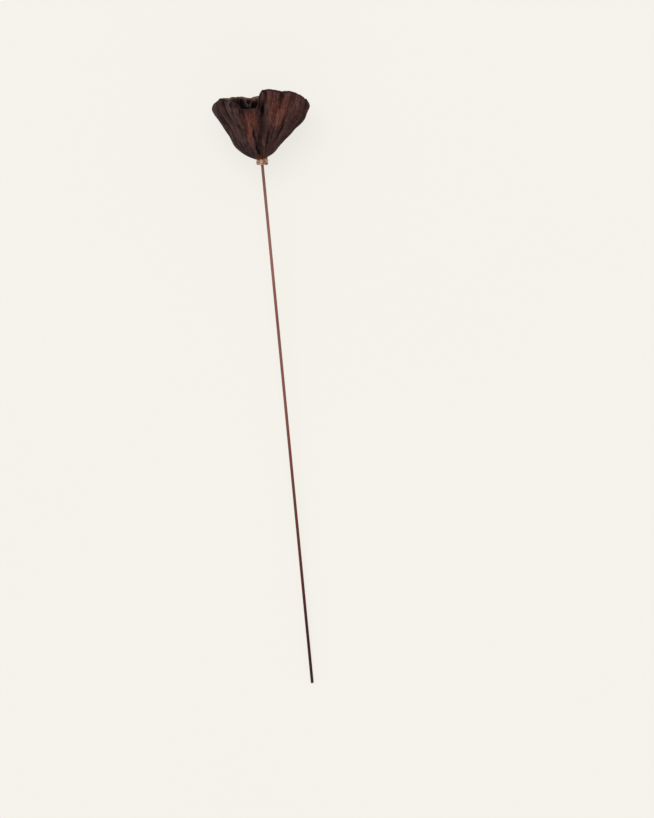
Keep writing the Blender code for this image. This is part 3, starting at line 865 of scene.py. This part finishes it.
def make_pod(material, pits):
    """The pod with its collar, wall, rim, top face and pits, as one piece."""
    shape = Shape()
    foot_ring, border_ring, border = make_wall(shape)
    make_stick_hole(shape, foot_ring)
    make_face(shape, border_ring, border, pits)
    return shape.make("pod", material)


def seed_outline():
    """A seed's outline from its tip down: share of its radius, and height as a share of half its length."""
    angles = np.radians(np.linspace(14, 168, SEED_ROWS))
    return [*SEED_TIP, *((math.sin(angle), SEED_SHOULDER * math.cos(angle)) for angle in angles)]


def make_seed(shape, pit, number):
    """A dry nut-like seed, loose in its pit with its small tip up."""
    chance = random.Random(200 + number)
    radius = PIT_RADIUS * pit.size * chance.uniform(0.76, 0.84)
    sink = chance.uniform(0.7, 1.7)
    half = SEED_LENGTH / 2
    middle = Matrix.Translation((0, 0, -(half + sink) * MM))
    place = pit.place @ middle @ turned(pit.lean[0], "X") @ turned(pit.lean[1], "Y")
    turns = all_round(SEED_COLUMNS)
    dent = 1 + 0.02 * np.cos(3 * turns + number) + 0.012 * np.cos(5 * turns + 2 * number)
    rings = []
    for share, height in seed_outline():
        local = circle(radius * share * dent, turns, height * half)
        shade = float(np.clip(1.0 - (height + 1) / 1.6, 0, 1))
        rings.append(shape.add(moved(place, local * MM), pit=shade, rim=float(height > SEED_SHOULDER)))
    tip = shape.add(moved(place, np.array([[0, 0, half * MM]])), rim=1.0)[0]
    shape.cap(tip, rings[0], at_end=True)
    for ring, below in zip(rings, rings[1:]):
        shape.bridge(below, ring)
    end = moved(place, np.array([[0, 0, -SEED_SHOULDER * half * MM]]))
    shape.cap(shape.add(end, pit=1.0)[0], rings[-1])


def make_seeds(material, pits):
    """The seeds, as one piece."""
    shape = Shape()
    for number, pit in enumerate(pits):
        if pit.with_seed:
            make_seed(shape, pit, number)
    return shape.make("seeds", material)


def make_stick(material):
    """The thin stick: a touch uneven, with fine ridges along its grain and square-cut ends."""
    shape = Shape()
    turns = all_round(STICK_COLUMNS)
    around = turns / (2 * math.pi)
    rings = []
    for row in range(STICK_ROWS + 1):
        share = row / STICK_ROWS
        grain = perlin(81, around, np.full(STICK_COLUMNS, share), 9, 14)
        knots = perlin(82, around, np.full(STICK_COLUMNS, share), 3, 30)
        radius = STICK_RADIUS - 0.01 - 0.05 * np.abs(grain) - 0.04 * np.clip(knots, 0, 1)
        to_end = min(share, 1 - share) * STICK_LENGTH
        radius = radius - 0.12 * (1 - min(to_end / 0.4, 1)) ** 2
        local = circle(radius, turns, STICK_DEPTH - STICK_LENGTH * (1 - share))
        rings.append(shape.add(press_to_floor(moved(stick_frame(), local * MM)), rim=share))
    for ring, above in zip(rings, rings[1:]):
        shape.bridge(ring, above)
    low, high = (np.concatenate(shape.points)[ring].mean(axis=0) for ring in (rings[0], rings[-1]))
    shape.cap(shape.add(low, pit=1.0)[0], rings[0])
    shape.cap(shape.add(high, rim=1.0, pit=1.0)[0], rings[-1], at_end=True)
    return shape.make("stick", material)


def srgb(red, green, blue):
    """An 8-bit screen colour as linear light."""
    def linear(value):
        value /= 255
        return value / 12.92 if value <= 0.04045 else ((value + 0.055) / 1.055) ** 2.4

    return (linear(red), linear(green), linear(blue), 1.0)


class Paint:
    """A small builder of node materials."""

    def __init__(self, name):
        self.material = bpy.data.materials.new(name)
        self.material.use_nodes = True
        self.tree = self.material.node_tree
        self.shader = self.tree.nodes["Principled BSDF"]

    def node(self, kind, inputs=(), **settings):
        made = self.tree.nodes.new(kind)
        for key, value in settings.items():
            setattr(made, key, value)
        for key, value in dict(inputs).items():
            self.set(made.inputs[key], value)
        return made

    def set(self, socket, value):
        if isinstance(value, bpy.types.NodeSocket):
            self.tree.links.new(value, socket)
        else:
            socket.default_value = value

    def math(self, operation, first, second=0.0):
        return self.node("ShaderNodeMath", {0: first, 1: second}, operation=operation).outputs[0]

    def times(self, first, second):
        return self.math("MULTIPLY", first, second)

    def vector(self, operation, inputs):
        return self.node("ShaderNodeVectorMath", inputs, operation=operation).outputs[0]

    def upright(self):
        """The point's place in the pod's own frame, in metres."""
        return self.node("ShaderNodeAttribute", attribute_name="upright").outputs["Vector"]

    def mask(self, name):
        return self.node("ShaderNodeAttribute", attribute_name=name).outputs["Fac"]

    def noise(self, vector, scale, detail=3.0, roughness=0.5):
        inputs = {"Vector": vector, "Scale": scale, "Detail": detail, "Roughness": roughness}
        return self.node("ShaderNodeTexNoise", inputs).outputs["Fac"]

    def between(self, value, low, high):
        """0 below low, 1 above high, and smooth between."""
        inputs = {"Value": value, "From Min": low, "From Max": high}
        return self.node("ShaderNodeMapRange", inputs, interpolation_type="SMOOTHSTEP").outputs["Result"]

    def mix(self, factor, first, second):
        return self.node("ShaderNodeMix", {0: factor, 6: first, 7: second}, data_type="RGBA").outputs[2]

    def blend(self, value, low, high, first, second):
        """Goes from the first screen colour to the second as the value rises from low to high."""
        return self.mix(self.between(value, low, high), srgb(*first), srgb(*second))

    def tint(self, colour, cover, strength, other):
        """Brings another screen colour in at this strength where the cover is."""
        return self.mix(self.times(cover, strength), colour, srgb(*other))

    def bump(self, height, distance, strength=1.0, normal=None):
        inputs = {"Height": height, "Distance": distance, "Strength": strength}
        if normal:
            inputs["Normal"] = normal
        return self.node("ShaderNodeBump", inputs).outputs["Normal"]

    def around_axis(self, position, turn_scale, height_scale):
        """Coordinates that wrap round the Z axis without a seam."""
        flat = self.vector("MULTIPLY", {0: position, 1: (1, 1, 0)})
        direction = self.vector("NORMALIZE", {0: flat})
        circle = self.vector("SCALE", {0: direction, "Scale": turn_scale})
        tall = self.vector("MULTIPLY", {0: position, 1: (0, 0, height_scale)})
        return self.vector("ADD", {0: circle, 1: tall})

    def finish(self, colour, roughness, normal, specular=0.5):
        """Sets the shader's inputs, and returns the material."""
        names = ("Base Color", "Roughness", "Normal", "Specular IOR Level")
        for name, value in zip(names, (colour, roughness, normal, specular)):
            self.set(self.shader.inputs[name], value)
        return self.material


class Skin:
    """The noises that the colours of the pod's skin share."""

    def __init__(self, p, position):
        self.streaks = p.noise(p.around_axis(position, 9.0, 30.0), 1.0, 4.0, 0.6)
        self.strands = p.noise(p.around_axis(position, 20.0, 22.0), 1.0, 2.0, 0.5)
        self.fibres = p.noise(p.around_axis(position, 46.0, 60.0), 1.0, 3.0, 0.65)
        self.cloud = p.noise(position, 70.0, 3.0, 0.55)
        self.specks = p.noise(position, 520.0, 1.0, 0.5)
        mottle = p.noise(position, 240.0, 2.0, 0.6)
        self.pale_spots = p.between(mottle, 0.50, 0.64)
        self.dark_spots = p.between(mottle, 0.46, 0.34)
        self.redness = p.times(p.mask("red"), p.between(self.streaks, 0.18, 0.46))


def red_colour(p, skin):
    """The red-brown of the patches, with pale flecks."""
    flecks = p.times(p.between(skin.specks, 0.60, 0.68), p.between(skin.fibres, 0.46, 0.60))
    red = p.blend(skin.fibres, 0.34, 0.68, (74, 35, 32), (106, 58, 51))
    red = p.tint(red, skin.pale_spots, 0.5, (120, 72, 54))
    red = p.tint(red, skin.dark_spots, 0.4, (62, 32, 30))
    return p.tint(red, flecks, 0.8, (158, 102, 76))


def wall_colour(p, skin):
    """The outside of the wall: streaky dark brown with a painted highlight on its ridges, and red-brown
    patches.
    """
    colour = p.blend(skin.streaks, 0.36, 0.62, (37, 24, 24), (70, 51, 50))
    colour = p.tint(colour, p.between(skin.cloud, 0.46, 0.62), 0.5, (76, 45, 39))
    colour = p.tint(colour, skin.pale_spots, 0.3, (92, 70, 68))
    colour = p.tint(colour, skin.dark_spots, 0.3, (26, 16, 16))
    colour = p.mix(skin.redness, colour, red_colour(p, skin))
    colour = p.tint(colour, p.between(skin.fibres, 0.54, 0.72), 0.22, (110, 78, 73))
    # Painted highlight: the ridges between the wrinkles are lightened as if lit.
    ridge_highlight = p.times(p.mask("ridge"), p.between(skin.specks, 0.34, 0.62))
    colour = p.tint(colour, ridge_highlight, 0.26, (108, 76, 69))
    colour = p.tint(colour, p.between(skin.strands, 0.55, 0.68), 0.28, (98, 72, 68))
    gaps = p.math("MAXIMUM", p.between(skin.fibres, 0.44, 0.30), p.between(skin.strands, 0.46, 0.34))
    colour = p.tint(colour, gaps, 0.38, (22, 13, 13))
    return p.tint(colour, p.mask("edge"), 0.65, (34, 24, 23))


def inside_colour(p, skin):
    """The inner side of the rim, painted near black as shade with paler fold edges as painted highlights, its
    tan edge, and the brown top face.
    """
    # Painted shade: the inner side of the rim is near black.
    inner = p.blend(skin.streaks, 0.40, 0.62, (13, 7, 7), (34, 21, 21))
    # Painted highlight on the raised fold edges.
    inner = p.tint(inner, p.mask("edge"), 0.8, (100, 72, 70))
    top = p.blend(skin.cloud, 0.40, 0.62, (44, 29, 26), (76, 54, 46))
    top = p.tint(top, p.mask("ridge"), 0.7, (116, 88, 72))
    inner = p.mix(p.mask("face"), inner, top)
    return p.mix(p.mask("rim"), inner, srgb(142, 108, 88))


def stroke_colour(p, skin, colour):
    """Pale strokes, partly painted highlights on ridges and folded edges and partly pale fibres; painted
    shade, near black, in the folds, creases and pockets; and painted shade in the pits.
    """
    # Pale strokes, partly painted highlights and partly pale fibres.
    pale = p.times(p.mask("pale"), p.between(skin.fibres, 0.30, 0.55))
    highlight_and_fibre_colour = p.mix(skin.redness, srgb(148, 120, 114), srgb(158, 106, 86))
    colour = p.mix(p.times(pale, 0.7), colour, highlight_and_fibre_colour)
    # Painted shade, near black, in the folds, creases, dark strokes and pockets.
    dark = p.math("MAXIMUM", p.between(p.mask("fold"), 0.24, 0.95), p.mask("dark"))
    colour = p.tint(colour, dark, 0.96, (8, 3, 3))
    # Painted shade in the pits and in the stick's hole.
    return p.tint(colour, p.mask("pit"), 0.8, (20, 12, 10))


def collar_colour(p, skin, position, colour):
    """The tan collar with its brown scars, and the brown scorch over it."""
    tan = p.blend(skin.specks, 0.44, 0.64, (216, 178, 160), (168, 122, 100))
    tan = p.mix(p.between(p.noise(position, 300.0, 2.0), 0.56, 0.68), tan, srgb(112, 74, 54))
    colour = p.mix(p.mask("collar"), colour, tan)
    axes = p.node("ShaderNodeSeparateXYZ", {0: position}).outputs
    scorch = p.times(p.between(axes["Z"], 0.0050, 0.0062), p.between(axes["Z"], 0.0108, 0.0084))
    scorch = p.times(scorch, p.between(p.math("ABSOLUTE", axes["X"]), 0.0085, 0.0040))
    return p.tint(colour, scorch, 0.8, (88, 50, 26))


def pod_paint():
    """Dark leathery brown with red-brown patches, pale strokes that are partly painted highlights, painted
    shade in the folds, and a tan collar.
    """
    p = Paint("pod_skin")
    position = p.upright()
    skin = Skin(p, position)
    colour = p.mix(p.mask("inside"), wall_colour(p, skin), inside_colour(p, skin))
    colour = collar_colour(p, skin, position, stroke_colour(p, skin, colour))
    furrows = p.bump(skin.strands, 0.0014, 0.7)
    grain = p.bump(p.noise(p.around_axis(position, 90.0, 150.0), 1.0, 4.0, 0.65), 0.0005, 0.8, furrows)
    pores = p.bump(p.noise(position, 1500.0, 2.0, 0.6), 0.00012, 0.6, grain)
    return p.finish(colour, p.math("ADD", p.times(skin.fibres, 0.35), 0.38), pores, 0.04)


def seed_paint():
    """Hard dark nuts with a dusty bloom, a paler tip, and painted shade towards their bottoms."""
    p = Paint("seed_shell")
    dust = p.noise(p.upright(), 700.0, 4.0, 0.6)
    colour = p.blend(dust, 0.4, 0.65, (44, 33, 30), (86, 70, 62))
    colour = p.mix(p.mask("rim"), colour, srgb(120, 92, 72))
    # Painted shade, darker towards the seed's bottom in its pit.
    colour = p.tint(colour, p.mask("pit"), 0.7, (24, 17, 15))
    return p.finish(colour, p.math("ADD", p.times(dust, 0.35), 0.25), p.bump(dust, 0.0001, 0.5))


def stick_paint():
    """Taupe near the collar, then red-brown, and near black-red at the cut end, with fine grain."""
    p = Paint("stick")
    grain = p.noise(p.vector("MULTIPLY", {0: p.upright(), 1: (1800, 1800, 28)}), 1.0, 3.0, 0.6)
    along = p.node("ShaderNodeValToRGB", {"Fac": p.mask("rim")})
    stops = along.color_ramp.elements
    while len(stops) < len(STICK_COLOURS):
        stops.new(0.5)
    for stop, (place, colour) in zip(stops, STICK_COLOURS):
        stop.position = place
        stop.color = srgb(*colour)
    colour = p.tint(along.outputs["Color"], p.between(grain, 0.45, 0.7), 0.30, (40, 14, 12))
    colour = p.tint(colour, p.mask("pit"), 0.6, (120, 84, 66))
    return p.finish(colour, p.math("ADD", p.times(grain, 0.3), 0.4), p.bump(grain, 0.00008, 0.6), 0.2)


def floor_paint():
    """A pale studio floor that glows like a light table, so that the shadow on it is very faint."""
    p = Paint("floor")
    tone = p.noise(p.node("ShaderNodeTexCoord").outputs["Object"], 3.0, 2.0)
    colour = p.mix(tone, (0.275, 0.269, 0.251, 1.0), (0.278, 0.272, 0.254, 1.0))
    inputs = p.shader.inputs
    p.set(inputs["Base Color"], (0.160, 0.157, 0.146, 1.0))
    p.set(inputs["Roughness"], 0.9)
    p.set(inputs["Specular IOR Level"], 0.0)
    p.set(inputs["Emission Color"], colour)
    p.set(inputs["Emission Strength"], 2.69)
    return p.material


def make_floor():
    """A wide floor, a hair under the part."""
    mesh = bpy.data.meshes.new("floor")
    corners = ((-1, -1), (1, -1), (1, 1), (-1, 1))
    points = [(x * FLOOR_REACH, y * FLOOR_REACH, -FLOOR_DROP) for x, y in corners]
    mesh.from_pydata(points, [], [(0, 1, 2, 3)])
    mesh.materials.append(floor_paint())
    floor = add_object("floor", mesh)
    floor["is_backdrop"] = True


def place_camera():
    """Looks straight down, so that the foot and the cut end fall on their pixels in the photograph."""
    foot = POD.translation
    low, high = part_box("stem")
    end = Vector(((low.x + high.x) / 2, low.y, low.z + STICK_RADIUS * MM))
    seen = []
    for point, (x, y) in ((foot, FOOT_PIXEL), (end, END_PIXEL)):
        depth = CAMERA_HEIGHT - point.z
        seen.append(depth * Vector((x - PHOTO_WIDTH / 2, PHOTO_HEIGHT / 2 - y)))
    in_photo, on_floor = seen[0] - seen[1], (foot - end).xy
    focal = in_photo.length / on_floor.length
    turn = math.atan2(on_floor.y, on_floor.x) - math.atan2(in_photo.y, in_photo.x)
    offset = Matrix.Rotation(turn, 2) @ seen[0] / focal
    data = bpy.data.cameras.new("camera")
    data.sensor_fit = "VERTICAL"
    data.lens = data.sensor_height * focal / PHOTO_HEIGHT
    data.clip_end = 50
    camera = add_object("camera", data)
    camera.location = (foot.x - offset.x, foot.y - offset.y, CAMERA_HEIGHT)
    camera.rotation_euler = (0, 0, turn)
    bpy.context.scene.camera = camera


def light_scene():
    """A bright even surround, and a wide soft light from above."""
    world = bpy.data.worlds.new("surround")
    bpy.context.scene.world = world
    world.use_nodes = True
    background = world.node_tree.nodes["Background"]
    background.inputs["Color"].default_value = (1.0, 0.99, 0.97, 1.0)
    background.inputs["Strength"].default_value = SURROUND_STRENGTH
    data = bpy.data.lights.new("key", "SUN")
    data.energy = SUN_STRENGTH
    data.angle = math.radians(SUN_DEGREES)
    data.color = (1.0, 0.98, 0.95)
    light = add_object("key", data)
    light.rotation_euler = Vector(SUN_FROM).to_track_quat("Z", "Y").to_euler()
    bpy.context.scene.view_settings.view_transform = "Standard"


def main():
    """Dresses the part and sets the stage."""
    pits = [Pit(number, *place) for number, place in enumerate(pit_places())]
    make_floor()
    place_camera()
    light_scene()
    pod = make_pod(pod_paint(), pits)
    seeds = make_seeds(seed_paint(), pits)
    stick = make_stick(stick_paint())
    for piece, slot in ((pod, "pod_skin"), (seeds, "pod_skin"), (stick, "stick")):
        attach(piece, "root")
    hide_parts("seed_pod")
    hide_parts("stem")


main()
boxes = {"cad": CAD_BOX, "visual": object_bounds()}
{name: [list(corner) for corner in box] for name, box in boxes.items()}
